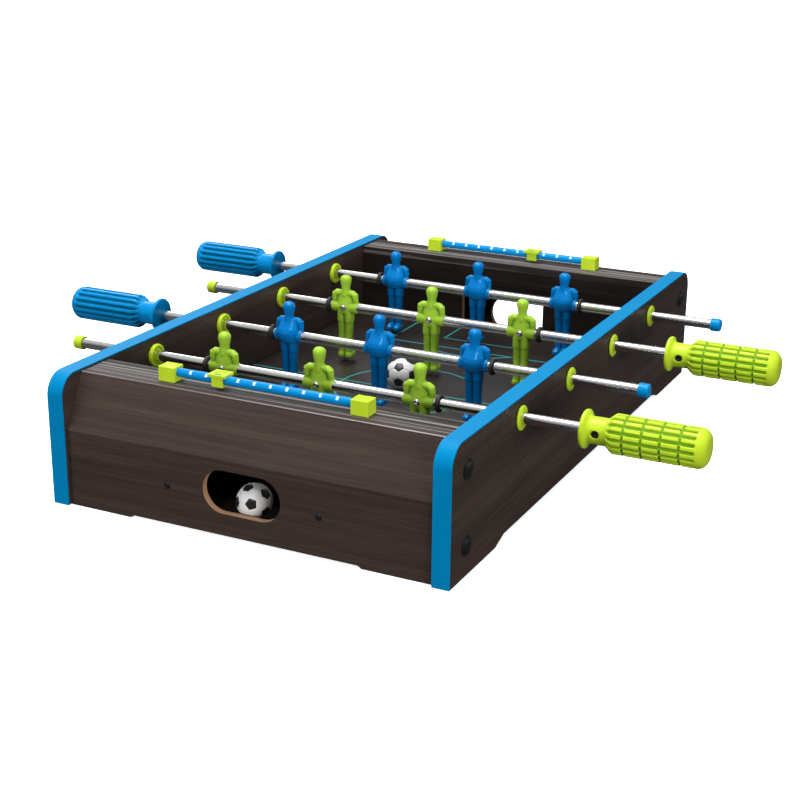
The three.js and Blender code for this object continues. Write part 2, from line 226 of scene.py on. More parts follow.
# ------------------------------------------------------------------------------------------------
# Side panels: two 12.7 mm boards in dark brown wood-grain foil, standing on two feet each, with a
# bushing hole for every rod and a groove for the playing field. Both ends of the arch are rounded.
MM = 0.001
table_wide, table_long, panel_high = 308.0, 500.0, 95.3
board_thick, corner_radius, band_thick = 12.7, 16.0, 1.0
panel_inside = table_wide / 2 - board_thick
rod_places, rod_high = (-139.35, -46.45, 46.45, 139.35), 80.5
sides, ends = (("left", -1), ("right", 1)), (("near", -1), ("far", 1))


def rounded(points, closed=True, steps=4):
    """The line through (u, v, radius) points, with each corner turned at its own radius."""
    line = []
    for i, (u, v, radius) in enumerate(points):
        here = Vector((u, v))
        if radius == 0 or (not closed and i in (0, len(points) - 1)):
            line.append(here)
            continue
        back = Vector(points[i - 1][:2]) - here
        onward = Vector(points[(i + 1) % len(points)][:2]) - here
        half = back.angle(onward) / 2
        reach = min(radius / math.tan(half), 0.49 * back.length, 0.49 * onward.length)
        centre = here + (back.normalized() + onward.normalized()).normalized() * reach / math.cos(half)
        first, last = here + back.normalized() * reach - centre, here + onward.normalized() * reach - centre
        for k in range(steps + 1):
            line.append(centre + first.lerp(last, k / steps).normalized() * first.length)
    return line


def circle(u, v, radius, corners=48):
    turns = [2 * math.pi * k / corners for k in range(corners)]
    return [Vector((u + radius * math.cos(t), v + radius * math.sin(t))) for t in turns]


def piece_of(name, bm, *finishes):
    """A new object from a mesh worked out in millimetres, with its faces turned outwards and smooth."""
    bmesh.ops.recalc_face_normals(bm, faces=bm.faces)
    bmesh.ops.scale(bm, vec=(MM, MM, MM), verts=bm.verts)
    mesh = bpy.data.meshes.new(name)
    bm.to_mesh(mesh)
    bm.free()
    for made in finishes:
        mesh.materials.append(made)
    mesh.shade_smooth()
    piece = bpy.data.objects.new(name, mesh)
    bpy.context.scene.collection.objects.link(piece)
    return piece


def settled(piece):
    """The piece with its modifiers made part of its mesh."""
    bpy.context.view_layer.update()
    worked = piece.evaluated_get(bpy.context.evaluated_depsgraph_get())
    mesh = bpy.data.meshes.new_from_object(worked)
    piece.modifiers.clear()
    piece.data = mesh
    return piece


def eased(piece, width, segments=2, limit=30.0):
    """The piece with every edge sharper than limit degrees rounded over, and its flats kept flat."""
    bevel = piece.modifiers.new("ease", "BEVEL")
    bevel.width, bevel.segments, bevel.limit_method = width * MM, segments, "ANGLE"
    bevel.angle_limit = math.radians(limit)
    bevel.harden_normals = False
    flat = piece.modifiers.new("flats", "WEIGHTED_NORMAL")
    flat.keep_sharp = True
    return settled(piece)


along = {"x": lambda u, v, w: (w, u, v), "y": lambda u, v, w: (u, w, v), "z": lambda u, v, w: (u, v, w)}


def sawn_into(bm, outline, across, low, high):
    """Adds a board of that outline, from low to high along the axis across."""
    lower, upper = ([bm.verts.new(along[across](u, v, w)) for u, v in outline] for w in (low, high))
    bm.faces.new(lower)
    bm.faces.new(upper)
    for i in range(len(lower)):
        bm.faces.new((lower[i - 1], lower[i], upper[i], upper[i - 1]))


def sawn(name, outline, across, low, high, *finishes):
    bm = bmesh.new()
    sawn_into(bm, outline, across, low, high)
    return piece_of(name, bm, *finishes)


def block(low, high):
    """The outline of a rectangle."""
    (u0, v0), (u1, v1) = low, high
    return [Vector(p) for p in ((u0, v0), (u1, v0), (u1, v1), (u0, v1))]


def cut(piece, *cutters):
    """The piece with the cutters' shapes taken out of it."""
    for cutter in cutters:
        taken = piece.modifiers.new("cut", "BOOLEAN")
        taken.object, taken.operation, taken.solver = cutter, "DIFFERENCE", "EXACT"
    settled(piece)
    for cutter in cutters:
        bpy.data.objects.remove(cutter)
    return piece


def placed(piece, body, slot, *nodes):
    """The piece rides on its body and stands for its nodes, which are hidden. Its slot is not used."""
    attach(piece, body)
    if nodes:
        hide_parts(*nodes)
    return piece


def wood_foil(name, grain, colour=(0.045, 0.031, 0.0258), lined=0.045):
    """Printed foil: broad dark bands, fine pores and lines along the grain, and a slight sheen."""
    made, start = finish(name, colour, 0.42, Specular_IOR_Level=0.4, IOR=1.3)
    squeeze = {axis: 0.045 if axis == grain else 1.0 for axis in "xyz"}
    place = stretched(start, **squeeze)
    bands = specks(start, place, 70.0, 4.0, 0.6)
    pores = specks(start, place, 620.0, 5.0, 0.65)
    pore = spread(start, pores, 0.38, 0.62)
    streak = spread(start, bands, 0.35, 0.68)
    drawn_out = {axis: 0.006 if axis == grain else 1.0 for axis in "xyz"}
    threads = specks(start, stretched(start, **drawn_out), 400.0, 2.0)
    thread = spread(start, threads, 0.5, 0.6, 0.0, lined)
    dark = tuple(0.55 * c for c in colour) + (1.0,)
    light = tuple(1.45 * c for c in colour) + (1.0,)
    pale = tuple(0.02 + 3.6 * c + 0.13 * lined for c in colour) + (1.0,)
    ground = blended(start, 0.25 + 0.35 * streak + 0.4 * pore * streak, dark, light)
    feed(made, Base_Color=blended(start, thread, ground, pale),
         Roughness=0.36 + 0.16 * pore + 0.06 * streak,
         Normal=bumped(start, pore * 0.7 + streak * 0.3, 0.00012, 0.55))
    return made


foil_along_y = wood_foil("wood_foil_lengthwise", "y")
foil_along_x = wood_foil("wood_foil_crosswise", "x")
foil_of_rails = wood_foil("wood_foil_rails", "x", (0.023, 0.0175, 0.0155), 0.9)

foot_long, foot_rise, foot_ease = 73.0, 4.8, 15.0
ply = band_thick + 0.3
panel_end, panel_top = table_long / 2 - ply, panel_high - ply
foot = table_long / 2 - foot_long
hole_radius, groove_long, groove_low, groove_high, groove_deep = 6.35, 195.7, 29.2, 33.8, 4.0
half_arch = [(foot - foot_ease, foot_rise, 9.0), (foot - foot_ease * 0.2, 0.9, 5.0), (foot, 0.0, 0.5),
             (panel_end, 0.0, 0.0), (panel_end, panel_top, corner_radius - ply)]
arch = half_arch + [(-u, v, r) for u, v, r in reversed(half_arch)]
for side, s in sides:
    inside, outside = sorted((s * panel_inside, s * table_wide / 2))
    panel = sawn(f"side_panel_{side}_board", rounded(arch, steps=10), "x", inside, outside, foil_along_y)
    holes = [sawn("hole", circle(y, rod_high, hole_radius), "x", inside - 9, outside + 9)
             for y in rod_places]
    groove = sawn("groove", block((-groove_long, groove_low), (groove_long, groove_high)), "x",
                  *sorted((s * (panel_inside - 5), s * (panel_inside + groove_deep))))
    cut(panel, groove, *holes)
    placed(eased(panel, 0.35), "frame", "wood_foil", f"side_panel_{side}")

# ------------------------------------------------------------------------------------------------
# Edge bands: a blue plastic strip, 1 mm thick, glued over the whole arch of each side panel from
# the near foot to the far foot. Its corners are broken, and it is bright and rather glossy.
band_blue, start = finish("edge_band_blue", (0.0004, 0.205, 0.45), 0.4, Specular_IOR_Level=0.4, IOR=1.3,
                          Specular_Tint=(0.1, 0.6, 1.0, 1.0))
streaks = specks(start, stretched(start, 1.0, 0.15, 0.15), 260.0, 3.0)
feed(band_blue,
     Base_Color=blended(start, streaks, (0.0003, 0.19, 0.42, 1.0), (0.0006, 0.22, 0.48, 1.0)),
     Roughness=0.42 + 0.14 * streaks,
     Normal=bumped(start, streaks, 0.00003, 0.5))

band_ease = 0.28


def skinned(bm, rings):
    """Joins each ring of points to the next with faces. A ring of one point closes to a tip."""
    faces = []
    for one, two in zip(rings, rings[1:]):
        for k in range(max(len(one), len(two))):
            if len(one) == 1:
                faces.append(bm.faces.new((one[0], two[k], two[k - 1])))
            elif len(two) == 1:
                faces.append(bm.faces.new((one[k - 1], one[k], two[0])))
            else:
                faces.append(bm.faces.new((one[k - 1], one[k], two[k], two[k - 1])))
    return faces


for side, s in sides:
    low, high = sorted((s * panel_inside, s * table_wide / 2))
    bm = bmesh.new()
    profile = rounded([(low, band_thick, 0.0), (low, 0.0, band_ease), (high, 0.0, band_ease),
                       (high, band_thick, 0.0)], closed=False, steps=3)
    rings = []
    path = rounded([(-table_long / 2, 0.0, 0.0), (-table_long / 2, panel_high, corner_radius),
                    (table_long / 2, panel_high, corner_radius), (table_long / 2, 0.0, 0.0)],
                   closed=False, steps=20)
    for i, here in enumerate(path):
        run = (path[min(i + 1, len(path) - 1)] - path[max(i - 1, 0)]).normalized()
        inward = Vector((run.y, -run.x))
        rings.append([bm.verts.new((x, *(here + inward * depth))) for x, depth in profile])
    skinned(bm, rings)
    bm.faces.new(rings[0])
    bm.faces.new(rings[-1])
    band = piece_of(f"edge_band_{side}_strip", bm, band_blue)
    placed(eased(band, 0.12, 1, 50.0), "frame", "edge_band", f"edge_band_{side}")

# ------------------------------------------------------------------------------------------------
# Playing field: a 4 mm board let into the panels' grooves. Its dark face is printed with thin teal
# lines: the halfway line, the centre circle, and a goal area, a penalty area and an arc at each end.
field_top, field_thick, goal_face = 33.5, 4.0, 195.7
line_wide = 1.7
field_print, start = finish("field_print", (0.018, 0.0135, 0.0125), 0.3)
in_millimetres = stretched(start, 1 / MM, 1 / MM, 1 / MM)
x, y = part_of(start, in_millimetres, 0), part_of(start, in_millimetres, 1)
half = abs(y)


def area(wide, deep):
    """How far a point is from the outline of an area in front of a goal, less than 0 inside it."""
    beside = abs(x) - wide
    return beside.maths("MAXIMUM", beside, deep - half)


def ring_at(middle, radius):
    """How far a point is from a ring whose middle is that far from the halfway line."""
    gap = half - middle
    square = x * x + gap * gap
    return square.maths("SQRT", square) - radius


penalty_line, far_away = 119.5, 100
arc = abs(ring_at(162.0, 59.0)) + far_away * (half > penalty_line)
lines = [half, ring_at(0.0, 56.5), area(75.0, penalty_line), area(33.0, 144.5), arc]
nearest = abs(lines[0])
for line in lines[1:]:
    nearest = nearest.maths("MINIMUM", nearest, abs(line))
line_soft = 0.25
on_line = spread(start, nearest, line_wide / 2 - line_soft, line_wide / 2 + line_soft, 1.0, 0.0)
face_up = part_of(start, start.node("ShaderNodeTexCoord", out="Normal"), 2)
on_line = on_line * (face_up > 0.5)
weave = specks(start, stretched(start, 1.0, 0.08, 1.0), 500.0, 4.0)
ground = blended(start, weave, (0.012, 0.0095, 0.009, 1.0), (0.026, 0.019, 0.0165, 1.0))
feed(field_print,
     Base_Color=blended(start, on_line, ground, (0.02, 0.25, 0.26, 1.0)),
     Roughness=0.24 + 0.2 * weave + 0.1 * on_line,
     Normal=bumped(start, weave + on_line, 0.00003, 0.5))
field_wide, field_long = panel_inside + groove_deep - 0.3, goal_face - 0.3
field = sawn("playing_field_board", block((-field_wide, -field_long), (field_wide, field_long)),
             "z", field_top - field_thick, field_top, field_print)
placed(eased(field, 0.2), "frame", "field_print", "playfield")

# ------------------------------------------------------------------------------------------------
# End covers: one foil-covered fibreboard folded to a straight fascia and a sloping upper face. The
# fascia stands on two feet and has a ball slot whose rim is sawn, so the raw board shows in it.
half_board = panel_inside - 0.3
cover_out, cover_thick, fold_high, lip_out, rail_top = 246.6, 5.0, 55.9, 227.0, 93.4
slope = math.atan2(cover_out - lip_out, rail_top - fold_high)
slot_wide, slot_high, slot_middle = 60.0, 31.0, 33.3
cover_foot, cover_rise, cover_rise_run = 51.0, 1.8, 2.6


def slope_back(z):
    """How far from the middle the sloping face's inner side is at height z."""
    return cover_out - cover_thick / math.cos(slope) - (z - fold_high) * math.tan(slope)


raw_board, start = finish("raw_fibreboard", (0.36, 0.19, 0.10), 0.85)
fibres = specks(start, stretched(start), 1600.0, 5.0, 0.7)
layers = specks(start, stretched(start, 0.3, 3.0, 0.3), 300.0, 2.0)
feed(raw_board,
     Base_Color=blended(start, 0.6 * fibres + 0.4 * layers,
                        (0.20, 0.095, 0.048, 1.0), (0.55, 0.32, 0.18, 1.0)),
     Roughness=0.75 + 0.2 * fibres,
     Normal=bumped(start, fibres, 0.0002, 0.8))


def bare(piece, test, other=1):
    """Gives another of its finishes to the faces whose middle (mm) and normal pass the test."""
    for face in piece.data.polygons:
        if test(face.center / MM, face.normal):
            face.material_index = other


# The rounded top edge of each cover gets a much lighter copy of the foil: a painted highlight along the lip.
lip_painted_highlight = wood_foil("wood_foil_lip_painted_highlight", "x", (0.12, 0.11, 0.115), 0.5)
fold_inside, cover_in = fold_high - cover_thick * math.tan(slope / 2), cover_out - cover_thick
for end, s in ends:
    section = [(s * cover_out, 0.0, 0.0), (s * cover_out, fold_high, 1.0), (s * lip_out, rail_top, 1.1),
               (s * slope_back(rail_top), rail_top, 0.0), (s * cover_in, fold_inside, 0.0),
               (s * cover_in, 0.0, 0.0)]
    cover = sawn(f"end_cover_{end}_board", rounded(section), "x", -half_board, half_board,
                 foil_along_x, raw_board, lip_painted_highlight)
    through = sorted((s * 230.0, s * 260.0))
    slot = block((-slot_wide / 2, slot_middle - slot_high / 2), (slot_wide / 2, slot_middle + slot_high / 2))
    pill = rounded([(u, v, slot_high / 2 - 0.01) for u, v in slot], steps=16)
    foot = half_board - cover_foot
    raised = foot - cover_rise_run
    arch_cut = rounded([(-foot, -2.0, 0.0), (-foot, 0.0, 0.4), (-raised, cover_rise, 2.4),
                        (raised, cover_rise, 2.4), (foot, 0.0, 0.4), (foot, -2.0, 0.0)], steps=5)
    cut(cover, sawn("slot", pill, "y", *through), sawn("arch", arch_cut, "y", *through))
    eased(cover, 0.3, 2, 24.0)
    bare(cover, lambda at, out: abs(out.y) < 0.6 and abs(at.x) < slot_wide / 2 + 0.2
         and abs(at.z - slot_middle) < slot_high / 2 + 0.2)
    # painted highlight: the lip's rounded faces take the light foil
    bare(cover, lambda at, out: 0.5 < out.z < 0.985 and at.z > rail_top - 1.2, 2)
    placed(cover, "frame", "wood_foil", f"end_cover_{end}")

# ------------------------------------------------------------------------------------------------
# End rails, goal walls and ball trays. The rail closes the top behind the cover, the goal wall has
# a sawn goal mouth with a raw edge, and the tray behind it catches the ball and leads it to the slot.
rail_low, wall_thick, foil_gap = rail_top - 6.0, 5.0, 0.3
goal_wide, goal_high = 78.0, 30.0
tray_top, tray_thick, cheek_thick = 10.4, 3.0, 12.0
# The goal walls and trays get a darker copy of the foil: painted shade, as they stand inside the table.
inner_foil_painted_shade = wood_foil("wood_foil_inside_painted_shade", "x", (0.016, 0.0115, 0.010))
for end, s in ends:
    rail = sawn(f"end_rail_{end}_board", [
        (s * goal_face, rail_low), (s * goal_face, rail_top),
        (s * (slope_back(rail_top) - foil_gap), rail_top),
        (s * (slope_back(rail_low) - foil_gap), rail_low)], "x", -half_board, half_board, foil_of_rails)
    placed(eased(rail, 0.3), "frame", "wood_foil", f"end_rail_{end}")

    back = goal_face + wall_thick
    wall = sawn(f"goal_wall_{end}_board", block((-half_board, foot_rise), (half_board, rail_low - foil_gap)),
                "y", *sorted((s * goal_face, s * back)), inner_foil_painted_shade, raw_board)
    mouth = rounded([(-goal_wide / 2, field_top, 0.0), (goal_wide / 2, field_top, 0.0),
                     (goal_wide / 2, field_top + goal_high, 1.5),
                     (-goal_wide / 2, field_top + goal_high, 1.5)])
    cut(wall, sawn("mouth", mouth, "y", *sorted((s * 190.0, s * 206.0))))
    eased(wall, 0.25)
    bare(wall, lambda at, out: abs(out.y) < 0.6 and abs(at.x) < goal_wide / 2 + 0.2
         and field_top - 0.2 < at.z < field_top + goal_high + 0.2)
    placed(wall, "frame", "wood_foil", f"goal_wall_{end}")

    bm = bmesh.new()
    front, tray_end = back + foil_gap, cover_in - foil_gap
    sawn_into(bm, [(s * u, v) for u, v in block((front, tray_top - tray_thick), (tray_end, tray_top))], "x",
              -half_board + cheek_thick + 0.1, half_board - cheek_thick - 0.1)
    cheek_top = rail_low - foil_gap
    cheek = [(s * u, v) for u, v in ((front, tray_top - tray_thick), (tray_end, tray_top - tray_thick),
                                     (tray_end, fold_inside - foil_gap),
                                     (slope_back(cheek_top) - foil_gap, cheek_top),
                                     (front, cheek_top))]
    for low, high in ((-half_board, -half_board + cheek_thick), (half_board - cheek_thick, half_board)):
        sawn_into(bm, cheek, "x", low, high)
    tray = piece_of(f"ball_tray_{end}_boards", bm, inner_foil_painted_shade)
    placed(eased(tray, 0.3), "frame", "tray_board", f"ball_tray_{end}")


# ------------------------------------------------------------------------------------------------
# Bolts and screws of the case: two black domed bolts on washers at each end of each side panel, and
# two small black cross-head screws in each fascia, beside the ball slot.
def turned_into(bm, profile, around=48, turn=None):
    """Adds a shape turned about the X axis from (place along it, radius) points."""
    turn = turn or Matrix.Identity(4)
    rings = []
    for place, radius in profile:
        if radius < 1e-6:
            rings.append([bm.verts.new(turn @ Vector((place, 0.0, 0.0)))])
        else:
            rings.append([bm.verts.new(turn @ Vector((place, *p))) for p in circle(0.0, 0.0, radius, around)])
    skinned(bm, rings)


def turned(name, profile, around, turn, *finishes, hollow=False):
    """A piece turned about the X axis and moved by turn. A hollow one's profile closes on itself."""
    bm = bmesh.new()
    turned_into(bm, profile + profile[:1] if hollow else profile, around, turn)
    if hollow:
        bmesh.ops.remove_doubles(bm, verts=bm.verts, dist=1e-4)
    return piece_of(name, bm, *finishes)


def facing(place, way):
    """Carries a shape turned about +X to place, with its +X end facing way."""
    return Matrix.Translation(place) @ Vector(way).to_track_quat("X", "Z").to_matrix().to_4x4()


def cross_recess(turn, size, deep):
    """The two cutters of a cross recess, for a head whose top is at the origin."""
    cutters = []
    for spin in (0.5, 0.5 + math.pi / 2):
        bm = bmesh.new()
        blade = [(-size, deep), (-size * 0.3, -deep), (size * 0.3, -deep), (size, deep)]
        spun = turn @ Matrix.Rotation(spin, 4, "X")
        corners = [[bm.verts.new(spun @ Vector((w, u, side * size * 0.17))) for u, w in blade]
                   for side in (-1, 1)]
        bm.faces.new(corners[0])
        bm.faces.new(corners[1])
        skinned(bm, corners)
        cutters.append(piece_of("recess", bm))
    return cutters


black_steel, start = finish("black_steel", (0.02, 0.02, 0.022), 0.35, Metallic=0.6)
wear = specks(start, stretched(start), 700.0, 4.0)
feed(black_steel, Base_Color=blended(start, wear, (0.012, 0.012, 0.014, 1.0), (0.04, 0.038, 0.038, 1.0)),
     Roughness=0.25 + 0.3 * wear, Normal=bumped(start, wear, 0.00005, 0.4))

bolt_profile = rounded([(-0.5, 0.0, 0.0), (-0.5, 7.0, 0.0), (0.9, 7.0, 0.4), (1.0, 4.9, 0.15),
                        (1.7, 4.7, 0.9), (2.5, 2.9, 2.2), (2.7, 0.0, 0.0)], closed=False, steps=5)
bolt_place = 225.7
for side, s in sides:
    for end, e in ends:
        for level, high in (("upper", 74.0), ("lower", 21.5)):
            turn = facing((s * table_wide / 2, e * bolt_place, high), (s, 0, 0))
            bolt = turned(f"case_bolt_{side}_{end}_{level}", bolt_profile, 40, turn, black_steel)
            cut(bolt, *cross_recess(turn @ Matrix.Translation((2.75, 0, 0)), 2.2, 1.1))
            placed(bolt, "frame", "black_rubber")

screw_profile = rounded([(-0.4, 0.0, 0.0), (-0.4, 2.4, 0.0), (0.3, 2.4, 0.25), (1.0, 1.6, 0.9),
                         (1.15, 0.0, 0.0)], closed=False)
screw_place, screw_high = 58.7, 30.0
for end, e in ends:
    for side, s in sides:
        turn = facing((s * screw_place, e * cover_out, screw_high), (0, e, 0))
        screw = turned(f"fascia_screw_{end}_{side}", screw_profile, 32, turn, black_steel)
        cut(screw, *cross_recess(turn @ Matrix.Translation((1.2, 0, 0)), 1.4, 0.8))
        placed(screw, "frame", "black_rubber")


# ------------------------------------------------------------------------------------------------
# Bushings: green nylon sleeves in the side panels that the rods turn in. Each has a dished flange
# with a raised rim inside the table, and a plain slightly domed flange outside.
def moulded(name, colour, rough=0.3, shine=(1.0, 1.0, 1.0, 1.0)):
    """Moulded plastic: even colour with a faint cloudiness, a fine texture that dulls its gloss, and painted
    shade that darkens it where the mesh's groove attribute marks grooves and creases.
    """
    made, start = finish(name, colour, rough, Specular_IOR_Level=0.4, Specular_Tint=shine)
    groove = start.node("ShaderNodeAttribute", {"attribute_name": "groove"}, out="Fac")
    # painted shade: deep is the darker colour that the groove attribute blends in, standing in for the shade
    # in grooves and creases
    deep = tuple(k * c for k, c in zip((0.22, 0.45, 0.3), colour)) + (1.0,)
    cloud = specks(start, stretched(start), 90.0, 2.0)
    skin = specks(start, stretched(start), 2600.0, 2.0)
    darker, lighter = (tuple(k * c for c in colour) + (1.0,) for k in (0.88, 1.1))
    feed(made, Base_Color=blended(start, groove, blended(start, cloud, darker, lighter), deep),
         Roughness=rough - 0.05 + 0.12 * skin, Normal=bumped(start, skin, 0.00002, 0.35))
    return made


def levelled(piece):
    """The piece with the light running smoothly over its curves and its flats kept flat."""
    piece.modifiers.new("flats", "WEIGHTED_NORMAL")
    return settled(piece)


green_plastic = moulded("green_plastic", (0.50, 0.68, 0.028), 0.28, (0.9, 1.0, 0.45, 1.0))
blue_plastic = moulded("blue_plastic", (0.0005, 0.225, 0.55), 0.22, (0.25, 0.75, 1.0, 1.0))
bore = 4.25
flange_edge, sleeve_edge = 8.7, 6.05
bushing_profile = rounded([
    (-2.9, bore, 0.3), (-2.9, 5.1, 0.4), (-1.3, 5.4, 0.4), (-1.3, 6.6, 0.5), (-3.3, 6.9, 0.6),
    (-3.3, flange_edge, 1.0), (-0.3, flange_edge, 0.4), (-0.3, sleeve_edge, 0.0),
    (board_thick + 0.3, sleeve_edge, 0.0), (board_thick + 0.3, flange_edge, 0.5),
    (board_thick + 1.7, flange_edge, 0.9), (board_thick + 2.3, 6.6, 2.0), (board_thick + 2.3, bore, 0.3)])
for number, y in enumerate(rod_places, 1):
    for side, s in sides:
        bushing = turned(f"bushing_{number}_{side}_sleeve", bushing_profile, 64,
                         facing((s * panel_inside, y, rod_high), (s, 0, 0)), green_plastic, hollow=True)
        placed(levelled(bushing), "frame", "green_plastic", f"bushing_{number}_{side}")

# ------------------------------------------------------------------------------------------------
# Rods and bumpers: 8 mm chromed steel tubes that slide and spin in the bushings. A black rubber
# ring on each side of the men stops the slide softly against the bushing.
chrome, start = finish("chrome", (0.80, 0.81, 0.83), 0.09, Metallic=1.0)
drawn = specks(start, stretched(start, 0.03, 1.0, 1.0), 1500.0, 3.0)
haze = specks(start, stretched(start), 60.0, 3.0)
feed(chrome, Base_Color=blended(start, haze, (0.80, 0.785, 0.77, 1.0), (0.92, 0.91, 0.90, 1.0)),
     Roughness=0.12 + 0.07 * haze + 0.02 * drawn, Normal=bumped(start, drawn, 0.000001, 0.2))
black_rubber, start = finish("black_rubber", (0.014, 0.0125, 0.012), 0.6)
dust = specks(start, stretched(start), 1300.0, 4.0, 0.6)
feed(black_rubber, Base_Color=blended(start, dust, (0.010, 0.009, 0.0085, 1.0), (0.028, 0.024, 0.022, 1.0)),
     Roughness=0.5 + 0.25 * dust, Normal=bumped(start, dust, 0.00008, 0.5))

rod_radius, rod_wall = 4.0, 1.0
handle_start, cap_start, cap_deep, rod_in_handle = 198.8, 205.9, 6.5, 64.0
rod_ends = (-(cap_start + cap_deep - 0.3), handle_start + rod_in_handle)
rod_profile = rounded([(rod_ends[0], rod_radius - rod_wall, 0.2), (rod_ends[0], rod_radius, 0.3),
                       (rod_ends[1], rod_radius, 0.3), (rod_ends[1], rod_radius - rod_wall, 0.2)])
bumper_profile = rounded([(-1.5, bore, 0.3), (-1.5, 6.3, 1.1), (1.5, 6.3, 1.1), (1.5, bore, 0.3)], steps=5)
bumper_place = 94.0
teams = [(number, y, 1 if number % 2 else -1) for number, y in enumerate(rod_places, 1)]
for number, y, way in teams:
    rod = turned(f"rod_{number}_tube", rod_profile, 40, facing((0, y, rod_high), (way, 0, 0)), chrome,
                 hollow=True)
    placed(levelled(rod), f"rod_{number}_team", "chrome", f"rod_{number}")
    for side, s in sides:
        bumper = turned(f"bumper_{number}_{side}_ring", bumper_profile, 48,
                        facing((s * bumper_place, y, rod_high), (s, 0, 0)), black_rubber, hollow=True)
        placed(bumper, f"rod_{number}_stops", "black_rubber", f"bumper_{number}_{side}")

# ------------------------------------------------------------------------------------------------
# Handles and end caps: hard plastic grips pushed over the rods, each held by a grub screw in its
# neck. Sixteen ribs run along each grip; the green ones are crossed by four rings of grooves.
ribs, grip_radius, neck_radius, flange_radius = 16, 13.6, 9.3, 13.25
handle_profile = rounded([(0.0, 4.2, 0.4), (0.0, flange_radius, 1.1), (2.6, flange_radius, 1.1),
                          (4.6, neck_radius, 2.4), (16.5, neck_radius, 2.0), (21.5, grip_radius, 3.0),
                          (84.3, grip_radius, 8.6), (85.0, 0.0, 0.0)], closed=False, steps=9)
ring_grooves, rib_deep, ring_deep = (29.6, 42.2, 54.8, 67.4), 2.0, 1.8
hole_place, hole_deep = 10.3, 2.2


def refined(profile, longest):
    """The profile with no stretch longer than longest."""
    line = [profile[0]]
    for one, two in zip(profile, profile[1:]):
        parts = max(1, math.ceil((two - one).length / longest))
        line += [one.lerp(two, k / parts) for k in range(1, parts + 1)]
    return line


def eased_step(value, low, high):
    """0 below low, 1 above high, and a smooth rise between them."""
    t = min(max((value - low) / (high - low), 0.0), 1.0)
    return t * t * (3 - 2 * t)


def grip_dip(place, turn, ringed):
    """How deep the grooves between the ribs and across them are at a point of the grip."""
    along_ribs = eased_step(place, 17.0, 21.0) * (1 - eased_step(place, 76.0, 78.5))
    phase = abs((turn * ribs / (2 * math.pi)) % 1.0 - 0.5) * 2
    dip = rib_deep * along_ribs * eased_step(phase, 0.36, 0.8)
    if ringed:
        gap = min(abs(place - groove) for groove in ring_grooves)
        dip = max(dip, ring_deep * (1 - eased_step(gap, 0.3, 1.15)) * along_ribs)
    return dip


def grip(bm, ringed, hole, around=320):
    """Adds a grip along x whose neck has a screw hole at the turn hole."""
    # groove holds painted shade: how far the plastic's colour is darkened in the grip's grooves
    groove = bm.verts.layers.float.new("groove")
    rings = []
    for place, radius in refined(handle_profile, 0.55 if ringed else 1.2):
        turns = [2 * math.pi * k / around for k in range(around)]
        if radius < 1e-6:
            rings.append([bm.verts.new((place, 0.0, 0.0))])
            continue
        dips = [grip_dip(place, t, ringed) if place > 16.9 and radius > neck_radius else 0.0
                for t in turns]
        if abs(place - hole_place) < 3.4:
            off = [abs((t - hole + math.pi) % (2 * math.pi) - math.pi) * neck_radius for t in turns]
            dips = [hole_deep * (1 - eased_step(math.hypot(place - hole_place, o), 2.5, 3.0))
                    for o in off]
        rings.append([bm.verts.new((place, (radius - d) * math.cos(t), (radius - d) * math.sin(t)))
                      for d, t in zip(dips, turns)])
        # painted shade in the grooves, darker where the dip is deeper
        for vert, dip in zip(rings[-1], dips):
            vert[groove] = 0.85 * eased_step(dip, 0.25, 1.7)
    skinned(bm, rings)
    bm.faces.new(rings[0])


cap_profile = rounded([(cap_deep, 0.0, 0.0), (cap_deep, 4.3, 0.0), (0.0, 4.3, 0.2), (0.0, 5.2, 0.35),
                       (8.0, 5.2, 1.5), (8.0, 0.0, 0.0)], closed=False, steps=6)
grub_socket = rounded([(-1.9, 0.0, 0.0), (-1.9, 1.0, 0.0), (-0.9, 1.1, 0.0), (-0.9, 2.6, 0.2),
                       (-2.4, 2.6, 0.0)], closed=False)
for number, y, way in teams:
    plastic, slot = (green_plastic, "green_plastic") if way > 0 else (blue_plastic, "blue_plastic")
    bm = bmesh.new()
    turn = facing((way * handle_start, y, rod_high), (way, 0, 0))
    screw_side = turn.to_3x3().inverted() @ Vector((0.0, -way, 0.0))
    grip(bm, way > 0, math.atan2(screw_side.z, screw_side.y))
    bmesh.ops.transform(bm, matrix=turn, verts=bm.verts)
    handle = piece_of(f"handle_{number}_grip", bm, plastic)
    placed(levelled(handle), f"rod_{number}_team", slot, f"handle_{number}")

    cap = turned(f"end_cap_{number}_cup", cap_profile, 48,
                 facing((-way * cap_start, y, rod_high), (-way, 0, 0)), plastic)
    placed(levelled(cap), f"rod_{number}_team", slot, f"end_cap_{number}")

    in_neck = facing((way * (handle_start + hole_place), y - way * neck_radius, rod_high), (0, -way, 0))
    placed(turned(f"grub_screw_{number}", grub_socket, 24, in_neck, black_steel),
           f"rod_{number}_team", "black_rubber")


# ------------------------------------------------------------------------------------------------
# Men: one solid moulding each, a smooth faceless figure with a short neck, round shirt, arms at its
# sides, two legs and a kicking foot block. The rod runs through its waist, and a screw holds it.
def lofted(bm, rings, around=32, power=2.0):
    """Adds a closed skin through (x, y, z, half width, half depth) rings, each a rounded rectangle."""
    loops = []
    for x, y, z, wide, deep in rings:
        loop = []
        for k in range(around):
            c, s = math.cos(2 * math.pi * k / around), math.sin(2 * math.pi * k / around)
            loop.append(bm.verts.new((x + wide * math.copysign(abs(c) ** (2 / power), c),
                                      y + deep * math.copysign(abs(s) ** (2 / power), s), z)))
        loops.append(loop)
    skinned(bm, loops)
    bm.faces.new(loops[0])
    bm.faces.new(loops[-1])


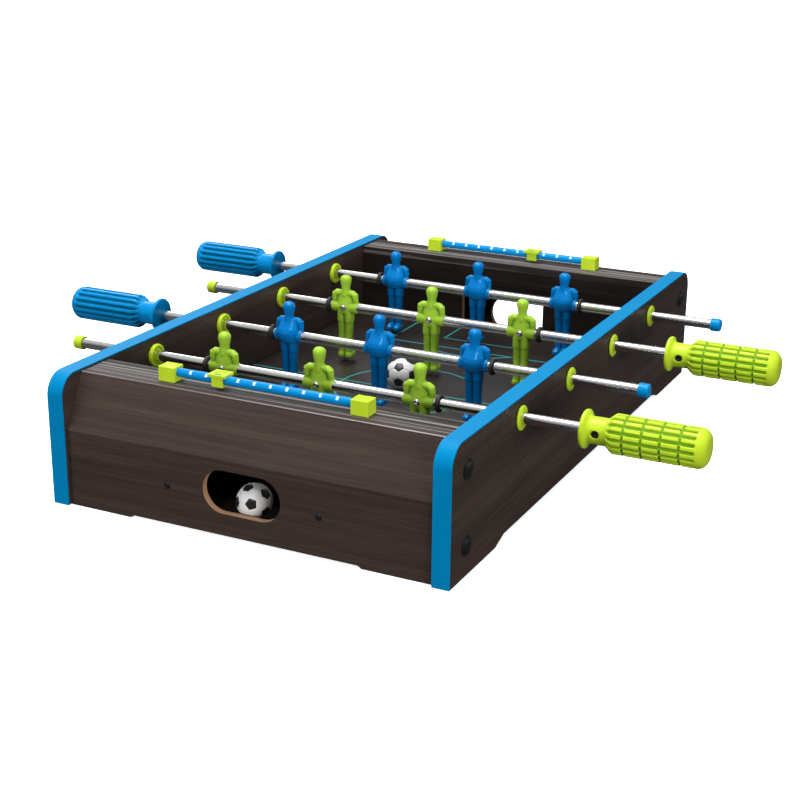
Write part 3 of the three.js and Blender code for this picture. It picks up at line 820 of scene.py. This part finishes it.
def limb(bm, points, around=20):
    """Adds a round limb through (x, y, z, radius) points, closed by half balls."""
    centres = [Vector(p[:3]) for p in points]
    stations = []
    for i, (here, p) in enumerate(zip(centres, points)):
        run = (centres[min(i + 1, len(centres) - 1)] - centres[max(i - 1, 0)]).normalized()
        caps = [(-math.cos(a), math.sin(a)) for a in (0.3, 0.75, 1.15)]
        if i == 0:
            stations += [(here + run * c * p[3], run, p[3] * s) for c, s in caps]
        stations.append((here, run, p[3]))
        if i == len(centres) - 1:
            stations += [(here - run * c * p[3], run, p[3] * s) for c, s in reversed(caps)]
    loops = []
    for middle, run, radius in stations:
        turn = run.to_track_quat("Z", "Y").to_matrix()
        loops.append([bm.verts.new(middle + turn @ Vector((*p, 0.0))) for p in circle(0, 0, radius, around)])
    skinned(bm, loops)
    bm.faces.new(loops[0])
    bm.faces.new(loops[-1])


sole = -43.5
figure = bmesh.new()
lofted(figure, [(0, y, z, w, d) for z, w, d, y in (
    (-5.6, 5.2, 4.2, 0.3), (-4.8, 7.4, 5.6, 0.5), (-3.2, 8.8, 6.3, 0.9), (-0.5, 9.6, 6.7, 1.4),
    (2.5, 9.6, 6.5, 1.9), (5.5, 9.0, 5.7, 1.8), (8.0, 8.2, 4.7, 1.2), (10.4, 7.6, 3.9, 0.5),
    (12.4, 6.4, 3.4, 0.1), (13.8, 4.9, 3.1, 0.0), (14.6, 3.9, 2.9, 0.0))], power=2.1)
collar = rounded([(-12.0, 0.0, 0.0), (-12.0, 4.9, 1.2), (12.0, 4.9, 1.2), (12.0, 0.0, 0.0)], closed=False)
turned_into(figure, collar, 32)
for s in (-1, 1):
    limb(figure, [(s * 3.0, -1.0, 12.3, 2.3), (s * 7.3, -1.1, 12.0, 2.7), (s * 9.3, -1.2, 10.6, 2.8),
                  (s * 9.8, -1.1, 7.4, 2.45), (s * 10.0, -0.7, 3.6, 2.2), (s * 9.8, 0.1, 0.4, 2.2),
                  (s * 9.2, 1.1, -2.2, 2.1)])
    lofted(figure, [(s * x, y, z, w, d) for x, y, z, w, d in (
        (3.4, 0.1, -2.0, 3.5, 4.9), (3.45, 0.1, -7.0, 3.6, 4.9), (3.5, 0.0, -12.2, 3.55, 4.7),
        (3.35, 0.0, -12.9, 3.2, 4.2), (3.25, 0.0, -18.0, 3.15, 3.9), (3.15, -0.1, -23.0, 2.95, 3.6),
        (3.1, -0.4, -29.0, 3.1, 3.9), (3.0, -0.3, -35.0, 2.8, 3.5), (2.95, -0.2, -40.5, 2.7, 3.3))],
        around=24, power=2.4)
    lofted(figure, [(s * x, y, z, w, d) for x, y, z, w, d in (
        (3.3, 1.6, sole + 0.1, 2.9, 5.7), (3.4, 1.6, sole + 0.7, 3.2, 6.3), (3.4, 1.5, sole + 3.0, 3.15, 6.2),
        (3.3, 1.0, sole + 4.3, 2.7, 5.0), (3.0, 0.2, sole + 5.3, 2.3, 3.8))],
        around=28, power=3.0)
lofted(figure, [(0, 0, z, r, r) for z, r in (
    (10.0, 3.9), (14.8, 3.6), (16.0, 3.55), (17.4, 3.75), (19.2, 4.2), (21.0, 4.6), (22.6, 4.8), (23.8, 4.8),
    (25.0, 4.4), (26.0, 3.5), (26.75, 2.2), (27.15, 0.8))], around=32)
model = piece_of("figure", figure)
skin = model.modifiers.new("skin", "REMESH")
skin.mode, skin.voxel_size, skin.use_smooth_shade = "VOXEL", 0.45 * MM, True
soften = model.modifiers.new("soften", "SMOOTH")
soften.factor, soften.iterations = 0.5, 5
settled(model)


def painted_crease_shade(piece, rounds=24, full=0.22):
    """Marks how deep each point lies in a crease, from where its surface goes when it is smoothed, in the
    groove attribute that paints shade into the creases.
    """
    mesh = piece.data
    spots, ways = np.empty(3 * len(mesh.vertices)), np.empty(3 * len(mesh.vertices))
    pairs = np.empty(2 * len(mesh.edges), dtype=np.int64)
    mesh.vertices.foreach_get("co", spots)
    mesh.vertices.foreach_get("normal", ways)
    mesh.edges.foreach_get("vertices", pairs)
    spots, ways, pairs = spots.reshape(-1, 3) / MM, ways.reshape(-1, 3), pairs.reshape(-1, 2)
    count = np.bincount(pairs.ravel(), minlength=len(spots))[:, None]
    smooth = spots.copy()
    for _ in range(rounds):
        total = np.zeros_like(smooth)
        np.add.at(total, pairs[:, 0], smooth[pairs[:, 1]])
        np.add.at(total, pairs[:, 1], smooth[pairs[:, 0]])
        smooth = 0.5 * smooth + 0.5 * total / count
    depth = np.clip(((smooth - spots) * ways).sum(axis=1) / full, 0.0, 1.0)
    groove = mesh.attributes.new("groove", "FLOAT", "POINT")
    groove.data.foreach_set("value", (0.8 * depth).astype(np.float32))


# painted shade: the men's creases are darkened through the groove attribute
painted_crease_shade(model)
# The men's plastics are darker copies of the handles' green and blue: painted shade over the whole figure.
men_green_painted_shade = moulded("men_green_plastic", (0.31, 0.52, 0.04), 0.26, (0.9, 1.0, 0.45, 1.0))
men_blue_painted_shade = moulded("men_blue_plastic", (0.0005, 0.16, 0.48), 0.18, (0.3, 0.8, 1.0, 1.0))
man_screw = rounded([(-1.5, 0.0, 0.0), (-1.5, 2.6, 0.0), (0.6, 2.6, 0.3), (1.5, 1.7, 1.1),
                     (1.7, 0.0, 0.0)], closed=False)
man_places, back_of_man = (-79.0, 0.0, 79.0), 5.4
for number, y, way in teams:
    plastic, slot = (men_green_painted_shade, "green_plastic") if way > 0 else (men_blue_painted_shade, "blue_plastic")
    for k, x in enumerate(man_places, 1):
        man = bpy.data.objects.new(f"man_{number}_{k}_figure", model.data.copy())
        man.data.materials.clear()
        man.data.materials.append(plastic)
        man.data.transform(Matrix.Translation(Vector((way * x, y, rod_high)) * MM)
                           @ Matrix.Rotation(0.0 if way > 0 else math.pi, 4, "Z"))
        bpy.context.scene.collection.objects.link(man)
        placed(man, f"rod_{number}_team", slot, f"man_{number}_{k}")
        turn = facing((way * x, y - way * back_of_man, rod_high), (0, -way, 0))
        screw = turned(f"man_screw_{number}_{k}", man_screw, 32, turn, chrome)
        cut(screw, *cross_recess(turn @ Matrix.Translation((1.75, 0, 0)), 1.7, 0.9))
        placed(screw, f"rod_{number}_team", "chrome")
bpy.data.objects.remove(model)

# ------------------------------------------------------------------------------------------------
# Scorers: on each end rail a blue bar with white marks, held by two green blocks with a shallow
# pocket in the top, and a green slider whose flat top plate is dished for a finger.
scorer_y, scorer_axis, bar_radius, bar_reach = 214.54, 99.95, 3.2, 74.5
block_size, block_middle = (13.0, 11.4, 10.5), 98.95
mark_pitch, mark_wide, mark_reach = 12.6, 1.9, 63.0
bar_blue, start = finish("scorer_bar_blue", (0.001, 0.22, 0.54), 0.3, Specular_IOR_Level=0.4,
                         Specular_Tint=(0.25, 0.75, 1.0, 1.0))
x = part_of(start, stretched(start, 1 / MM, 1 / MM, 1 / MM), 0)
face_up = part_of(start, start.node("ShaderNodeTexCoord", out="Normal"), 2)
pitches = x / mark_pitch
step = abs(pitches.maths("FRACT", pitches) - 0.5) * mark_pitch
marks = (step < mark_wide / 2) * (face_up > 0.3) * (face_up < 0.92) * (abs(x) < mark_reach)
grit = specks(start, stretched(start), 1800.0, 2.0)
feed(bar_blue,
     Base_Color=blended(start, marks,
                        blended(start, grit, (0.0008, 0.20, 0.50, 1.0), (0.002, 0.24, 0.58, 1.0)),
                        (0.62, 0.80, 0.92, 1.0)),
     Roughness=0.24 + 0.14 * grit + 0.12 * marks, Normal=bumped(start, grit + marks, 0.00003, 0.4))
slider_places = {"near": -34.5, "far": 20.6}
pocket_rim, pocket_round, pocket_deep = 1.3, 1.2, 0.7
slider_half, plate_half_wide, plate_half_deep, plate_low, plate_high = 4.4, 6.8, 6.0, 2.5, 4.4
bar_profile = rounded([(-bar_reach, 0.0, 0.0), (-bar_reach, bar_radius, 0.3), (bar_reach, bar_radius, 0.3),
                       (bar_reach, 0.0, 0.0)], closed=False)
dish_profile = [(0.1, 0.0), (0.1, 3.9), (3.0, 5.2), (3.0, 0.0)]


def bar_bore(middle, room, on_bar):
    """A cutter along the bar, wider than it by room, for a part that slides on it."""
    return turned("bore", [(middle - 20, 0.0), (middle - 20, bar_radius + room),
                           (middle + 20, bar_radius + room), (middle + 20, 0.0)], 32, on_bar)


for end, s in ends:
    on_bar = Matrix.Translation((0, s * scorer_y, scorer_axis))
    placed(turned(f"scorer_{end}_bar", bar_profile, 40, on_bar, bar_blue),
           "frame", "blue_plastic", f"scorer_bar_{end}")
    for side, e in sides:
        centre = (e * bar_reach, s * scorer_y, block_middle)
        low = [c - size / 2 for c, size in zip(centre, block_size)]
        high = [c + size / 2 for c, size in zip(centre, block_size)]
        holder = sawn(f"scorer_{end}_block_{side}", block((low[0], low[2]), (high[0], high[2])), "y",
                      low[1], high[1], green_plastic)
        inner = block([v + pocket_rim for v in low[:2]], [v - pocket_rim for v in high[:2]])
        cut(holder, sawn("pocket", rounded([(u, v, pocket_round) for u, v in inner]), "z",
                         high[2] - pocket_deep, high[2] + 3))
        placed(eased(holder, 0.6, 3), "frame", "green_plastic")
    middle = slider_places[end]
    slider = sawn(f"scorer_{end}_slider_body",
                  block((middle - slider_half, scorer_axis - bar_radius - 1.15),
                        (middle + slider_half, scorer_axis + 2.8)), "y",
                  s * scorer_y - slider_half, s * scorer_y + slider_half, green_plastic)
    cut(slider, bar_bore(middle, 0.25, on_bar))
    placed(eased(slider, 0.5, 3), f"score_marker_{end}", "green_plastic", f"scorer_slider_{end}")
    plate_y = s * (scorer_y - 0.8)
    plate = sawn(f"scorer_{end}_slider_plate",
                 block((middle - plate_half_wide, plate_y - plate_half_deep),
                       (middle + plate_half_wide, plate_y + plate_half_deep)), "z",
                 scorer_axis + plate_low, scorer_axis + plate_high, green_plastic)
    dish = turned("dish", dish_profile, 40, facing((middle, plate_y, scorer_axis + 3.2), (0, 0, 1)))
    cut(plate, dish, bar_bore(middle, 0.2, on_bar))
    placed(eased(plate, 0.4, 3), f"score_marker_{end}", "green_plastic")

# ------------------------------------------------------------------------------------------------
# Balls: two hard 25 mm balls, moulded as a football with white and black panels and fine grooves
# between them. One lies at the kick-off spot and one in the near tray, behind the slot.
ball_radius, golden = 12.5, (1 + math.sqrt(5)) / 2
panel_white, start = finish("ball_white", (0.80, 0.79, 0.78), 0.32, Coat_Weight=0.15)
scuff = specks(start, stretched(start), 260.0, 4.0)
feed(panel_white, Base_Color=blended(start, scuff, (0.72, 0.71, 0.70, 1.0), (0.86, 0.85, 0.84, 1.0)),
     Roughness=0.26 + 0.2 * scuff, Normal=bumped(start, scuff, 0.00004, 0.3))
panel_black, start = finish("ball_black", (0.012, 0.012, 0.013), 0.35, Coat_Weight=0.1)
scuff = specks(start, stretched(start), 320.0, 4.0)
feed(panel_black, Base_Color=blended(start, scuff, (0.008, 0.008, 0.009, 1.0), (0.024, 0.023, 0.023, 1.0)),
     Roughness=0.3 + 0.2 * scuff)
tips = [Vector(p).normalized() for a in (-1, 1) for b in (-golden, golden)
        for p in ((0, a, b), (a, b, 0), (b, 0, a))]
near_tips = [[other for other in tips if 0.1 < (tip - other).length < 1.2] for tip in tips]


def around_axis(points, axis):
    side = axis.orthogonal().normalized()
    cross = axis.cross(side)
    return sorted(points, key=lambda p: math.atan2(p.dot(cross), p.dot(side)))


panels = [(tip, around_axis([tip.lerp(n, 1 / 3) for n in near], tip), 1)
          for tip, near in zip(tips, near_tips)]
for i, a in enumerate(tips):
    for j, b in enumerate(tips[:i]):
        for c in tips[:j]:
            if max((a - b).length, (b - c).length, (a - c).length) < 1.2:
                corners = [p.lerp(q, 1 / 3) for p in (a, b, c) for q in (a, b, c) if p is not q]
                axis = (a + b + c).normalized()
                panels.append((axis, around_axis(corners, axis), 0))


def football(name, place, turn):
    """A ball of 32 panels, each crowned and dipping into a groove at its edge."""
    bm = bmesh.new()
    levels, splits = (0.0, 0.25, 0.5, 0.72, 0.86, 0.93, 0.97, 1.0), 6
    for axis, corners, tone in panels:
        rim = []
        for k, corner in enumerate(corners):
            following = corners[(k + 1) % len(corners)]
            rim += [corner.lerp(following, t / splits) for t in range(splits)]
        middle = sum(corners, Vector()) / len(corners)
        loops = []
        for level in levels[1:]:
            sunk = ball_radius - 0.28 * eased_step(level, 0.86, 1.0)
            loops.append([bm.verts.new(middle.lerp(p, level).normalized() * sunk) for p in rim])
        crown = bm.verts.new(axis * ball_radius)
        for face in skinned(bm, [[crown]] + loops):
            face.material_index = tone
    bmesh.ops.remove_doubles(bm, verts=bm.verts, dist=1e-3)
    bmesh.ops.transform(bm, matrix=Matrix.Translation(place) @ turn, verts=bm.verts)
    return piece_of(name, bm, panel_white, panel_black)


in_play_turn = Matrix.Rotation(-0.52, 4, -look) @ Matrix.Rotation(0.4, 4, "X")
returned_turn = Matrix.Rotation(-0.2, 4, right) @ Matrix.Rotation(-0.2, 4, "Z")
for name, body, node, turn in (("football_in_play", "play_ball", "ball_in_play", in_play_turn),
                               ("football_returned", "return_ball", "ball_returned", returned_turn)):
    low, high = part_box(node)
    placed(football(name, (low + high) / 2 / MM, turn), body, "ball_white", node)
